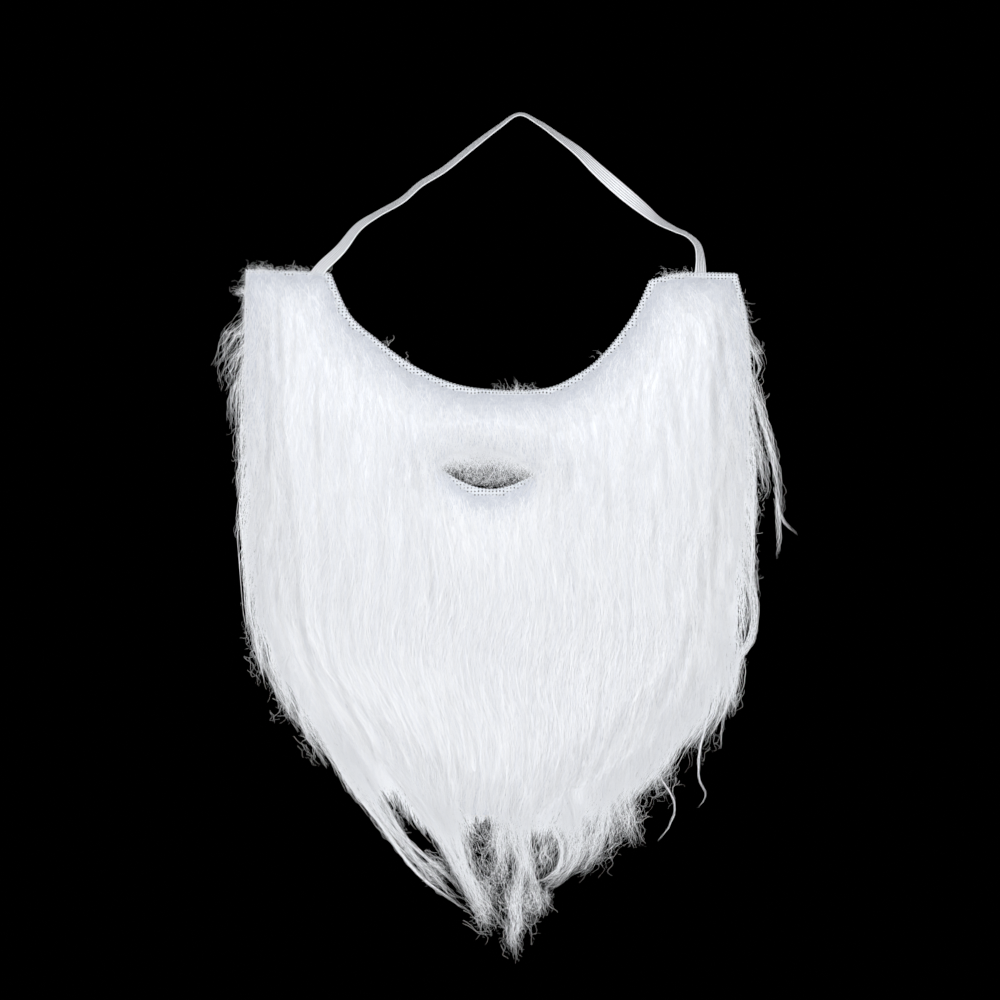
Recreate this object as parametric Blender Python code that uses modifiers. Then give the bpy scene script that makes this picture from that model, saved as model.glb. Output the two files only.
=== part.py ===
"""Fake beard: long white hair on a knit cloth panel, hung from its elastic head strap.

The frame is in metres with +Z up. X runs across the beard, the hair faces -Y, and the
origin is the underside of the strap at its highest point, where the beard hangs.
"""
import math
import random

import bmesh
import bpy
from mathutils import Vector

# Driving dimensions, in metres.
MM = 0.001
GAP = 0.3 * MM
CLOTH_THICKNESS = 1.2 * MM
PILE_THICKNESS = 6.0 * MM
LOCK_DEPTH = 11.0 * MM
STRAP_WIDTH = 7.0 * MM
STRAP_THICKNESS = 0.8 * MM
STRAP_END_HIDDEN = 15.0 * MM
CUTTER_HALF_DEPTH = 60.0 * MM
SLAB_MARGIN = 12.0 * MM
WELD = 0.01 * MM
SPECK_VOLUME = MM ** 3

# The panel hangs nearly flat: its sides curl back and its middle swells forward.
PANEL_CENTRE_X = -9.0 * MM
PANEL_CENTRE_Z = -215.0 * MM
PANEL_HALF_WIDTH = 125.0 * MM
PANEL_HALF_HEIGHT = 135.0 * MM
PANEL_BACK_Y = 6.0 * MM
SIDE_CURL = 9.0 * MM
SWELL = 4.0 * MM

# Cloth edge, clockwise from the left tab's outer corner, in millimetres. A corner row is
# sharp (1) or lies on a smooth curve through its neighbours (0).
CLOTH_EDGE = (
    # x, z, corner
    (-137.5, -77.0, 1), (-101.5, -78.5, 0), (-94.8, -79.3, 1), (-85.5, -99.4, 0),
    (-72.0, -111.9, 0), (-52.5, -126.0, 0), (-30.0, -135.5, 0), (-3.5, -138.3, 0),
    (13.9, -137.0, 0), (25.3, -132.5, 0), (40.5, -121.9, 0), (56.8, -101.3, 0),
    (66.0, -82.5, 1), (82.8, -78.9, 0), (109.3, -79.0, 1), (115.2, -106.7, 0),
    (116.0, -140.0, 0), (113.0, -200.0, 0), (100.0, -270.0, 0), (69.5, -309.5, 0),
    (5.0, -350.5, 1), (-24.5, -350.5, 1), (-97.5, -304.5, 0), (-125.0, -265.0, 0),
    (-134.0, -200.0, 0), (-138.0, -140.0, 0),
)
EDGE_STEPS = 3

# The pile starts a little inside the cloth edge. Both slabs are bent over a coarse grid.
PILE_INSET = 3.5 * MM
CLOTH_GRID = (14, 16)
PILE_GRID = (12, 14)

# Mouth opening: an almond of two arcs between its corners.
MOUTH_LEFT = (-41.0, -175.9)
MOUTH_RIGHT = (8.8, -179.4)
MOUTH_RISE = 9.5
MOUTH_DROP = 9.5
MOUTH_STEPS = 9

# Strap centreline from the left tab to the right tab, in millimetres, with the turn of
# the ribbon about its own run: 0 lies flat to the front and 90 stands edge on.
STRAP_ROUTE = (
    # x, z, turn in degrees
    (-101.5, -78.5, 20), (-89.5, -66.5, 33), (-80.7, -55.8, 47), (-70.6, -49.1, 59),
    (-58.6, -42.4, 60), (-49.2, -34.4, 61), (-37.2, -27.0, 61), (-23.8, -16.3, 63),
    (-10.5, -6.2, 71), (0.0, 0.4, 75), (10.0, -4.0, 68), (20.0, -11.0, 58),
    (30.0, -18.5, 43), (39.0, -27.0, 25), (51.2, -37.7, 5), (62.0, -46.4, 28),
    (70.0, -52.5, 50), (78.0, -56.6, 63), (84.7, -59.6, 66), (89.6, -64.4, 54),
    (91.2, -71.0, 42), (91.4, -79.3, 25),
)
STRAP_STEPS = 4
CLOTH_TOP = -77.0 * MM

# Outer form of the combed hair: its left and right edge at each height, in millimetres.
HAIR_EDGES = (
    # z, left, right
    (-77, -133, 105), (-110, -137, 114), (-150, -143, 122), (-200, -136, 118),
    (-250, -133, 116), (-275, -127, 108), (-300, -110, 101), (-325, -85, 80),
    (-350, -70, 58), (-375, -52, 38), (-400, -22, 12), (-422, -4, 2),
)

# Rows of locks over the front: roots at one height, spread between two places across
# (-1 is the left hair edge, 1 the right), with each lock's length, width and lift.
LOCK_ROWS = (
    # root z, first, last, locks, length, width, lift
    (-86, -0.90, -0.74, 2, 66, 21, 1.5), (-88, 0.68, 0.86, 2, 66, 21, 1.5),
    (-116, -0.92, -0.58, 4, 78, 21, 3.0), (-118, 0.50, 0.90, 4, 78, 21, 3.0),
    (-148, -0.93, -0.38, 5, 84, 23, 5.0), (-148, 0.26, 0.92, 6, 84, 23, 5.0),
    (-147, -0.24, 0.14, 4, 15, 14, 0.5),
    (-184, -0.94, -0.42, 5, 88, 23, 7.0), (-186, 0.24, 0.92, 6, 88, 23, 7.0),
    (-197, -0.28, 0.14, 4, 84, 22, 7.0),
    (-222, -0.94, 0.92, 10, 88, 23, 9.0), (-256, -0.93, 0.91, 9, 88, 23, 9.0),
    (-290, -0.90, 0.90, 8, 78, 21, 7.0), (-316, -0.76, 0.82, 6, 72, 18, 5.0),
)

# Single locks that leave the main mass: root and tip in millimetres, with a side bow.
LOOSE_LOCKS = (
    # root x, root z, tip x, tip z, width, bow
    (-122, -104, -153, -128, 9, 4), (-124, -120, -151, -146, 9, 4),
    (-124, -142, -144, -172, 10, 3), (-124, -185, -143, -216, 9, 4),
    (-120, -232, -136, -262, 10, 4), (-112, -252, -125, -289, 9, 3),
    (-90, -288, -72, -352, 13, 3), (-72, -318, -22, -400, 10, 7),
    (106, -116, 127, -172, 11, -3), (108, -138, 131, -208, 11, -4),
    (112, -168, 142, -210, 8, -6), (110, -180, 129, -223, 8, -3),
    (98, -205, 120, -246, 12, -4), (92, -248, 109, -290, 12, -3),
    (82, -270, 102, -321, 11, -3), (76, -280, 92, -347, 10, -4),
    (62, -300, 78, -344, 9, -4), (52, -312, 70, -365, 8, -6),
    (42, -326, 58, -368, 12, -4), (26, -332, 44, -378, 13, -3),
    (10, -336, 26, -390, 13, -3), (2, -340, 12, -404, 13, -2),
    (-8, -342, -1, -423, 13, 4), (-18, -340, -12, -412, 13, 3),
    (-30, -338, -20, -398, 12, 3), (-46, -330, -36, -392, 12, 4),
)
POLE = 0.001
LOCK_SIDES = 6
LOCK_RINGS = 7
LOCK_BOW = 3.0 * MM
LOCK_EMBED = 1.5 * MM
LOCK_CLEAR = 0.7 * MM
LOCK_DEPTH_SHARE = 0.6
LOOSE_DEPTH_SHARE = 0.7
LOOSE_LIFT = 4.0 * MM

# A lock is fattest above its middle and keeps its width before it tapers to the tip.
LOCK_FATTEST = 0.6
LOCK_FULLNESS = 0.7

# Chance changes of a lock, each way: its place across, its height in millimetres, its
# length and its width as shares.
JITTER_ACROSS = 0.02
JITTER_HEIGHT = 6.0
JITTER_LENGTH = 0.12
JITTER_WIDTH = 0.15
SEED = 12


def panel_back(x, z):
    """Return the y of the cloth's back face."""
    across = (x - PANEL_CENTRE_X) / PANEL_HALF_WIDTH
    along = (z - PANEL_CENTRE_Z) / PANEL_HALF_HEIGHT
    return PANEL_BACK_Y + SIDE_CURL * across * across - SWELL * math.exp(-along * along)


def cloth_front(x, z):
    return panel_back(x, z) - CLOTH_THICKNESS


def between(table, key, column):
    """Read a column of a table at a key, by straight lines between its rows."""
    for upper, lower in zip(table, table[1:]):
        if lower[0] <= key <= upper[0]:
            share = (upper[0] - key) / (upper[0] - lower[0])
            return upper[column] + share * (lower[column] - upper[column])
    return table[0][column] if key > table[0][0] else table[-1][column]


def hair_place(across, z):
    """Return the x of a place across the hair, from -1 at its left edge to 1 at its right."""
    left = between(HAIR_EDGES, z / MM, 1)
    right = between(HAIR_EDGES, z / MM, 2)
    return MM * (left + (right - left) * (across + 1) / 2)


def new_collection(name):
    collection = bpy.data.collections.new(name)
    bpy.context.scene.collection.children.link(collection)
    return collection


def new_object(name, mesh, collection):
    obj = bpy.data.objects.new(name, mesh)
    collection.objects.link(obj)
    return obj


def new_material(name, colour, roughness):
    material = bpy.data.materials.new(name)
    material.use_nodes = True
    shader = material.node_tree.nodes["Principled BSDF"]
    shader.inputs["Base Color"].default_value = (*colour, 1.0)
    shader.inputs["Roughness"].default_value = roughness
    shader.inputs["Metallic"].default_value = 0.0
    return material


def mark_as_cutter(obj):
    obj.hide_render = True
    obj.display_type = "WIRE"


def evaluated_mesh(obj):
    graph = bpy.context.evaluated_depsgraph_get()
    return bpy.data.meshes.new_from_object(obj.evaluated_get(graph))


def cloth_outline():
    """Return the cloth edge as points in metres, with its smooth stretches rounded."""
    points = []
    count = len(CLOTH_EDGE)
    for index, row in enumerate(CLOTH_EDGE):
        after = CLOTH_EDGE[(index + 1) % count]
        start = row if row[2] else CLOTH_EDGE[index - 1]
        finish = after if after[2] else CLOTH_EDGE[(index + 2) % count]
        quad = [(Vector((x, z, 0)) * MM, 0) for x, z, _ in (start, row, after, finish)]
        straight = row[2] and after[2]
        for step in range(1 if straight else EDGE_STEPS):
            points.append(smooth_between(quad, step / EDGE_STEPS)[0].xy)
    return points


def outline_distance(place, points):
    """Return how far a place lies from the nearest edge of an outline."""
    nearest = []
    for start, end in zip(points, points[1:] + points[:1]):
        along = (place - start).dot(end - start) / (end - start).length_squared
        nearest.append((place - start.lerp(end, min(1.0, max(0.0, along)))).length)
    return min(nearest)


def inset_outline(points, inset):
    """Move a clockwise outline inwards, leaving out the places where it would cross itself."""
    moved = []
    for index, point in enumerate(points):
        run_in = (point - points[index - 1]).normalized()
        run_out = (points[(index + 1) % len(points)] - point).normalized()
        inward = Vector((run_in.y + run_out.y, -run_in.x - run_out.x)).normalized()
        reach = inset / max(0.5, inward.dot(Vector((run_in.y, -run_in.x))))
        place = point + inward * reach
        clear = outline_distance(place, points) > 0.95 * inset
        if clear and (not moved or (place - moved[-1]).length > 0.5 * inset):
            moved.append(place)
    return moved


def outline_cutter(name, points, collection):
    """Make a closed prism through Y from an outline of x and z."""
    curve = bpy.data.curves.new(name, "CURVE")
    curve.dimensions = "2D"
    curve.fill_mode = "BOTH"
    curve.extrude = CUTTER_HALF_DEPTH
    spline = curve.splines.new("POLY")
    spline.points.add(len(points) - 1)
    for target, (x, z) in zip(spline.points, points):
        target.co = (x, z, 0, 1)
    spline.use_cyclic_u = True
    flat = new_object(name + "_curve", curve, collection)
    flat.rotation_euler.x = math.radians(90)
    bpy.context.view_layer.update()
    mesh = evaluated_mesh(flat)
    shape = bmesh.new()
    shape.from_mesh(mesh)
    bmesh.ops.remove_doubles(shape, verts=shape.verts, dist=WELD)
    shape.to_mesh(mesh)
    shape.free()
    prism = new_object(name, mesh, collection)
    prism.matrix_world = flat.matrix_world
    bpy.data.objects.remove(flat)
    mark_as_cutter(prism)
    return prism


def panel_slab(name, grid, front, back, collection):
    """Make a closed slab that follows the panel, wider than the cloth all round."""
    corners = cloth_outline()
    low = Vector(map(min, zip(*corners))) - Vector((SLAB_MARGIN, SLAB_MARGIN))
    high = Vector(map(max, zip(*corners))) + Vector((SLAB_MARGIN, SLAB_MARGIN))
    slab = bmesh.new()
    bmesh.ops.create_grid(slab, x_segments=grid[0], y_segments=grid[1], size=0.5)
    faces = list(slab.faces)
    extruded = bmesh.ops.extrude_face_region(slab, geom=faces, use_keep_orig=True)
    in_front = {item for item in extruded["geom"] if isinstance(item, bmesh.types.BMVert)}
    for vert in slab.verts:
        x = low.x + (vert.co.x + 0.5) * (high.x - low.x)
        z = low.y + (vert.co.y + 0.5) * (high.y - low.y)
        offset = front if vert in in_front else back
        vert.co = (x, panel_back(x, z) - offset, z)
    bmesh.ops.recalc_face_normals(slab, faces=slab.faces)
    mesh = bpy.data.meshes.new(name)
    slab.to_mesh(mesh)
    slab.free()
    return new_object(name, mesh, collection)


def add_boolean(obj, operation, operand, use_self=False):
    modifier = obj.modifiers.new(operation.lower(), "BOOLEAN")
    modifier.operation = operation
    modifier.object = operand
    modifier.solver = "EXACT"
    modifier.use_self = use_self


def mouth_points():
    """Return the almond of the mouth, in metres, clockwise from its left corner."""
    left = Vector(MOUTH_LEFT)
    right = Vector(MOUTH_RIGHT)
    points = []
    for start, end, rise in ((left, right, MOUTH_RISE), (right, left, -MOUTH_DROP)):
        for step in range(MOUTH_STEPS):
            share = step / MOUTH_STEPS
            height = rise * math.sin(math.pi * share)
            points.append((start.lerp(end, share) + Vector((0, height))) * MM)
    return points


def make_backing(parts, cutters):
    """Make the knit cloth panel with its tabs, face edge and mouth."""
    panel = panel_slab("backing", CLOTH_GRID, CLOTH_THICKNESS, 0.0, parts)
    outline = cloth_outline()
    add_boolean(panel, "INTERSECT", outline_cutter("cloth_outline", outline, cutters))
    add_boolean(panel, "DIFFERENCE", outline_cutter("cloth_mouth", mouth_points(), cutters))
    panel.data.materials.append(new_material("white knit", (0.86, 0.88, 0.92), 0.9))
    return panel


def add_lock(mass, root, tip, width, depth, bow, lift):
    """Add one tapered lock that runs from root to tip, bowed sideways and lifted forward."""
    run = tip - root
    side = Vector((-run.z, 0, run.x)).normalized()
    ball = bmesh.ops.create_uvsphere(
        mass, u_segments=LOCK_SIDES, v_segments=LOCK_RINGS, radius=1.0
    )
    for vert in ball["verts"]:
        share = (1 - vert.co.z) / 2
        ring = math.sqrt(max(0.0, 1 - vert.co.z ** 2))
        swell = max(0.0, math.sin(math.pi * share ** LOCK_FATTEST)) ** LOCK_FULLNESS
        around = vert.co.xy / ring if ring > POLE else Vector((0, 0))
        centre = root.lerp(tip, share) + side * bow * math.sin(math.pi * share)
        centre += Vector((0, -lift * share, 0))
        vert.co = centre + side * around.x * swell * width / 2
        vert.co.y += around.y * swell * depth / 2


def lock_place(x, z, lock_depth):
    """Return where a lock's middle lies: sunk into the pile and clear of the cloth."""
    forward = GAP + max(PILE_THICKNESS - LOCK_EMBED, lock_depth / 2 + LOCK_CLEAR)
    return Vector((x, cloth_front(x, z) - forward, z))


def make_locks(cutters):
    """Make every lock as one mesh of overlapping closed bodies."""
    chance = random.Random(SEED)
    mass = bmesh.new()
    for root_z, first, last, count, length, width, lift in LOCK_ROWS:
        for index in range(count):
            across = first + (last - first) * index / (count - 1)
            across += JITTER_ACROSS * chance.uniform(-1, 1)
            z = (root_z + JITTER_HEIGHT * chance.uniform(-1, 1)) * MM
            end_z = z - length * MM * (1 + JITTER_LENGTH * chance.uniform(-1, 1))
            bow = LOCK_BOW * chance.uniform(-1, 1)
            size = width * MM * (1 + JITTER_WIDTH * chance.uniform(-1, 1))
            depth = min(LOCK_DEPTH, LOCK_DEPTH_SHARE * size)
            root = lock_place(hair_place(across, z), z, depth)
            tip = lock_place(hair_place(across, end_z), end_z, depth)
            add_lock(mass, root, tip, size, depth, bow, lift * MM)
    for root_x, root_z, tip_x, tip_z, width, bow in LOOSE_LOCKS:
        depth = LOOSE_DEPTH_SHARE * width * MM
        root = lock_place(root_x * MM, root_z * MM, depth)
        tip = lock_place(tip_x * MM, tip_z * MM, depth)
        lift = LOOSE_LIFT * chance.random()
        add_lock(mass, root, tip, width * MM, depth, bow * MM, lift)
    mesh = bpy.data.meshes.new("locks")
    mass.to_mesh(mesh)
    mass.free()
    locks = new_object("locks", mesh, cutters)
    mark_as_cutter(locks)
    return locks


def loose_bodies(mesh):
    """Return the groups of faces of a mesh that hang together."""
    waiting = set(mesh.faces)
    bodies = []
    while waiting:
        front = [waiting.pop()]
        body = []
        while front:
            face = front.pop()
            body.append(face)
            for edge in face.edges:
                near = [other for other in edge.link_faces if other in waiting]
                waiting.difference_update(near)
                front.extend(near)
        bodies.append(body)
    return bodies


def body_volume(faces):
    """Return the signed volume inside a closed group of faces."""
    volume = 0.0
    for face in faces:
        first = face.verts[0].co
        for second, third in zip(face.verts[1:], face.verts[2:]):
            volume += first.dot(second.co.cross(third.co)) / 6
    return volume


def fuse(obj):
    """Apply the modifiers, fill the hollows sealed between the locks and drop specks."""
    mesh = evaluated_mesh(obj)
    obj.modifiers.clear()
    shape = bmesh.new()
    shape.from_mesh(mesh)
    unwanted = [body for body in loose_bodies(shape) if body_volume(body) < SPECK_VOLUME]
    faces = [face for body in unwanted for face in body]
    bmesh.ops.delete(shape, geom=faces, context="FACES")
    shape.to_mesh(mesh)
    shape.free()
    obj.data = mesh


def make_hair(parts, cutters):
    """Make the pile over the cloth and fuse every lock to it."""
    pile_edge = inset_outline(cloth_outline(), PILE_INSET)
    pile_back = CLOTH_THICKNESS + GAP
    hair = panel_slab("hair", PILE_GRID, pile_back + PILE_THICKNESS, pile_back, parts)
    add_boolean(hair, "INTERSECT", outline_cutter("pile_outline", pile_edge, cutters))
    add_boolean(hair, "DIFFERENCE", outline_cutter("pile_mouth", mouth_points(), cutters))
    add_boolean(hair, "UNION", make_locks(cutters), use_self=True)
    fuse(hair)
    hair.data.materials.append(new_material("white hair", (0.93, 0.94, 0.96), 0.75))
    return hair


def strap_stations():
    """Return the strap's centre and turn at each station, through a smooth curve."""
    rows = [(Vector((x, 0, z)) * MM, turn) for x, z, turn in STRAP_ROUTE]
    for end, inner in ((0, 1), (-1, -2)):
        foot = rows[end][0]
        run = (foot - rows[inner][0]).normalized()
        run = (run + Vector((0, 0, -1))).normalized()
        hidden = (foot + run * STRAP_END_HIDDEN, 0)
        rows.insert(0 if end == 0 else len(rows), hidden)
    return rows


def strap_share(z):
    """Return how far a height lies from the strap's top, 0, to the cloth, 1."""
    return min(1.0, max(0.0, z / CLOTH_TOP))


def strap_y(point, turn):
    """Return the strap's y: behind the cloth at its ends and at zero at the top."""
    lean = STRAP_WIDTH / 2 * math.sin(math.radians(turn))
    behind = panel_back(point.x, point.z) + GAP + STRAP_THICKNESS / 2 + lean
    return behind * strap_share(point.z) ** 2


def strap_facing(point):
    """Return the direction the strap's flat side faces, square to the cloth at its ends."""
    slope_x = (panel_back(point.x + MM, point.z) - panel_back(point.x - MM, point.z)) / (2 * MM)
    slope_z = (panel_back(point.x, point.z + MM) - panel_back(point.x, point.z - MM)) / (2 * MM)
    square = Vector((-slope_x, 1, -slope_z)).normalized()
    return Vector((0, 1, 0)).lerp(square, strap_share(point.z) ** 2).normalized()


def make_strap(parts):
    """Make the elastic as a ribbon surface along its route, thickened both ways."""
    rows = strap_stations()
    stations = []
    for index in range(len(rows) - 1):
        quad = [rows[max(0, min(len(rows) - 1, index + step))] for step in (-1, 0, 1, 2)]
        for part in range(STRAP_STEPS):
            stations.append(smooth_between(quad, part / STRAP_STEPS))
    stations.append(rows[-1])
    ribbon = bmesh.new()
    bmesh.ops.create_grid(ribbon, x_segments=len(stations) - 1, y_segments=1, size=0.5)
    centres = [Vector((p.x, strap_y(p, turn), p.z)) for p, turn in stations]
    for vert in ribbon.verts:
        place = round((vert.co.x + 0.5) * (len(stations) - 1))
        edge = 1 if vert.co.y > 0 else -1
        before = centres[max(0, place - 1)]
        after = centres[min(len(centres) - 1, place + 1)]
        run = (after - before).normalized()
        facing = strap_facing(centres[place])
        flat = run.cross(facing).normalized()
        upright = flat.cross(run).normalized()
        turn = math.radians(stations[place][1])
        across = flat * math.cos(turn) + upright * math.sin(turn)
        vert.co = centres[place] + across * edge * STRAP_WIDTH / 2
    mesh = bpy.data.meshes.new("elastic_strap")
    ribbon.to_mesh(mesh)
    ribbon.free()
    strap = new_object("elastic_strap", mesh, parts)
    solid = strap.modifiers.new("thickness", "SOLIDIFY")
    solid.thickness = STRAP_THICKNESS
    solid.offset = 0.0
    strap.data.materials.append(new_material("white elastic", (0.9, 0.91, 0.93), 0.6))
    return strap


def smooth_between(quad, share):
    """Read a Catmull-Rom curve between the middle two of four rows of point and turn."""
    weights = (
        (-share + 2 * share ** 2 - share ** 3) / 2,
        (2 - 5 * share ** 2 + 3 * share ** 3) / 2,
        (share + 4 * share ** 2 - 3 * share ** 3) / 2,
        (-share ** 2 + share ** 3) / 2,
    )
    point = sum((row[0] * weight for row, weight in zip(quad, weights)), Vector())
    turn = sum(row[1] * weight for row, weight in zip(quad, weights))
    return point, turn


def main():
    for obj in list(bpy.data.objects):
        bpy.data.objects.remove(obj, do_unlink=True)
    parts = new_collection("fake_beard")
    cutters = new_collection("cutters")
    make_backing(parts, cutters)
    make_hair(parts, cutters)
    make_strap(parts)


main()
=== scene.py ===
"""Fake beard: knit net cloth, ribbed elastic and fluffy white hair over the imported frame.

Sizes are in millimetres, in the frame's own axes, and become metres where a mesh is made.
X runs across the beard, the hair faces -Y and +Z is up. The strap's top is the origin.
"""
import math

import bpy
import numpy as np
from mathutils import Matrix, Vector
from mathutils.kdtree import KDTree


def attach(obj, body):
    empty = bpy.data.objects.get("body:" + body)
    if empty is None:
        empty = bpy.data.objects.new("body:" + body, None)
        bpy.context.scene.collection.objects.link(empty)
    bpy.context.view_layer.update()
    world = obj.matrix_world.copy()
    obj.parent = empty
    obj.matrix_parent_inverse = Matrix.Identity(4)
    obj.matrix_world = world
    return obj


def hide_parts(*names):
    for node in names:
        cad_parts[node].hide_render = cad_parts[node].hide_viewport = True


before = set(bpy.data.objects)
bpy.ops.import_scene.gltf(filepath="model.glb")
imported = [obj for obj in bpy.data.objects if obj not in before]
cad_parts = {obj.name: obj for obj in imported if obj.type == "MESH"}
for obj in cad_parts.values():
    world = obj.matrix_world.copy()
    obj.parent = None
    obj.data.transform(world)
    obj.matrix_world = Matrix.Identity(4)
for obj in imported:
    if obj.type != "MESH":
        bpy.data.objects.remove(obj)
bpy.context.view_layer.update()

MM = 0.001
SEED = 7

# Hair finishes, and the share of the fibres in each.
HAIR_FINISHES = (
    # name, colour, roughness, share
    ("hair_white", (0.93, 0.94, 0.96), 0.55, 0.5),
    ("hair_bright", (0.96, 0.965, 0.975), 0.45, 0.3),
    ("hair_cool", (0.89, 0.905, 0.945), 0.6, 0.2),
)
# Underhair: its dark and light streaks where it is thin and where it is full. Both pairs are
# painted shade: the underhair is painted darker and cooler than the fibres for the shade between
# them, and darkest where the pile thins at the cloth's edge.
UNDERHAIR_THIN_SHADE = ((0.61, 0.64, 0.71), (0.7, 0.72, 0.77))
UNDERHAIR_FULL_SHADE = ((0.83, 0.85, 0.89), (0.92, 0.93, 0.95))
UNDERHAIR_STEPS = 6
UNDERHAIR_PITCH = 1.7
# Texture scale that keeps metres, and the heights between which the cloth's foot warms.
EVEN = (1.0, 1.0, 1.0)
WARM_FROM = -0.3465
WARM_TO = -0.3495

# The cloth panel, as the frame's backing has it: its thickness, middle and half spans,
# and the depth, side curl and swell of its back.
CLOTH_THICKNESS = 1.2
PANEL_CENTRE = (-9.0, -215.0)
PANEL_HALF = (125.0, 135.0)
PANEL_BACK_Y = 6.0
SIDE_CURL = 9.0
SWELL = 4.0

# Cloth edge, clockwise from the left tab's outer corner. A corner row is sharp (1) or
# lies on a smooth curve through its neighbours (0). Bare is the knit left without pile.
CLOTH_EDGE = (
    # x, z, corner, bare
    (-137.5, -77.0, 1, 0.6), (-101.5, -78.5, 0, 1.4), (-94.8, -79.3, 1, 2.2),
    (-85.5, -99.4, 0, 3.0), (-72.0, -111.9, 0, 2.2), (-52.5, -126.0, 0, 2.4),
    (-30.0, -135.5, 0, 2.6), (-3.5, -138.3, 0, 1.4), (13.9, -137.0, 0, 2.2),
    (25.3, -132.5, 0, 2.4), (40.5, -121.9, 0, 2.0), (56.8, -101.3, 0, 2.6),
    (66.0, -82.5, 1, 2.4), (82.8, -78.9, 0, 2.0), (109.3, -79.0, 1, 3.0),
    (115.2, -106.7, 0, 1.4), (116.0, -140.0, 0, 0.6), (113.0, -200.0, 0, 0.5),
    (100.0, -270.0, 0, 0.5), (69.5, -309.5, 0, 0.5), (5.0, -350.5, 1, 0.3),
    (-24.5, -350.5, 1, 0.3), (-97.5, -304.5, 0, 0.5), (-125.0, -265.0, 0, 0.5),
    (-134.0, -200.0, 0, 0.5), (-138.0, -140.0, 0, 0.5),
)
EDGE_STEPS = 6
# First row and the one past the last, of the face edge, the edge that is bare of hair
# and the straight foot.
FACE_EDGE_ROWS = (1, 14)
BARE_EDGE_ROWS = (0, 16)
FOOT_ROWS = (20, 22)

# Mouth: its corners, half height, the steps along each lip and the bare knit below it.
MOUTH_LEFT = (-41.0, -175.9)
MOUTH_RIGHT = (8.8, -179.4)
MOUTH_HALF_HEIGHT = 9.5
MOUTH_STEPS = 14
MOUTH_BARE = 3.0

# Knit net: columns and rows of stitches, the open share of each mesh and its relief.
NET_PITCH_X = 1.8
NET_PITCH_Z = 1.7
NET_HOLE = 0.17
NET_RELIEF = 0.22
YARN_RADIUS = 0.24

# Elastic: the frame's route, then its size, its ribs on each face and its stitches.
STRAP_ROUTE = (
    # x, z, turn in degrees
    (-101.5, -78.5, 20), (-89.5, -66.5, 33), (-80.7, -55.8, 47), (-70.6, -49.1, 59),
    (-58.6, -42.4, 60), (-49.2, -34.4, 61), (-37.2, -27.0, 61), (-23.8, -16.3, 63),
    (-10.5, -6.2, 71), (0.0, 0.4, 75), (10.0, -4.0, 68), (20.0, -11.0, 58),
    (30.0, -18.5, 43), (39.0, -27.0, 25), (51.2, -37.7, 5), (62.0, -46.4, 28),
    (70.0, -52.5, 50), (78.0, -56.6, 63), (84.7, -59.6, 66), (89.6, -64.4, 54),
    (91.2, -71.0, 42), (91.4, -79.3, 25),
)
STRAP_STEPS = 14
STRAP_WIDTH = 7.0
STRAP_THICKNESS = 0.8
STRAP_RIBS = 6
RIB_STEPS = 5
RIB_DEPTH = 0.2
STRAP_END_HIDDEN = 15.0
PICK_RELIEF = 0.04
STITCH_RADIUS = 0.16
STITCH_REACH = 0.38
CLOTH_TOP = -77.0
GAP = 0.3

# Flow of the combed hair: its left and right side at each height.
HAIR_FLOW = (
    # z, left, right
    (-70, -139, 110), (-110, -140, 116), (-150, -141, 119), (-200, -140, 119),
    (-250, -136, 117), (-275, -131, 112), (-300, -117, 104), (-325, -98, 88),
    (-350, -80, 70), (-375, -62, 52), (-400, -46, 34), (-440, -30, 18),
)

# Pile: its height in the middle, the room from the cloth's edge that it takes to rise
# and to look full, the tufts' relief, and the pitch of the grid that holds its form.
PILE_HEIGHT = 7.5
PILE_RISE = 20.0
FULL_PILE = 24.0
TUFT_RELIEF = 0.42
FIELD_PITCH = 1.5
# The pile's edge is ragged above the cloth's straight foot.
RAGGED_ABOVE = -340.0
HAIR_HALF_WIDTH = 128.0

# Hem: the reach from the cloth's edge, below a height, where the coat is thickest.
HEM_REACH = 15.0
HEM_TOP = -150.0

# Fibres: how many, the points along each, and their widths. Own shading is the part
# that a fibre's own direction has in how it catches the light.
OWN_SHADING = 0.2
COAT_FIBRES = 15500
COAT_POINTS = 10
COAT_WIDTH = (0.16, 0.32)
COAT_PIECES = 3
TUFT_SPACING = 7.0
TUFT_STRETCH = 0.35
LOCK_POINTS = 19
ROUTE_STEPS = 8
LOCK_WIDTH = (0.07, 0.14)
FLEECE_FIBRES = 5600
SIDE_FIBRES = 1500
FUZZ_POINTS = 8
FUZZ_WIDTH = (0.06, 0.13)
MOUTH_FIBRES = 1100
LACE_POINTS = 12
LACE_WIDTH = (0.05, 0.11)

# Coat length: at the face edge, its growth away from that edge and towards the foot.
COAT_LENGTH = 10
COAT_GROWTH = 20
COAT_FOOT_GROWTH = 22
COAT_SHORTEST = 5

# Lower edge of the dense coat, from left to right.
COAT_FOOT = (
    # x, z
    (-140, -258), (-129, -270), (-115, -290), (-104, -306), (-88, -330), (-76, -344),
    (-66, -348), (-57, -342), (-50, -347), (-44, -356), (-36, -366), (-26, -370),
    (-20, -356), (-6, -356), (2, -366), (8, -364), (14, -363), (22, -364),
    (30, -366), (42, -352), (54, -346), (62, -340), (72, -328), (84, -314),
    (104, -298), (112, -270), (118, -240), (120, -190),
)

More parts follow.
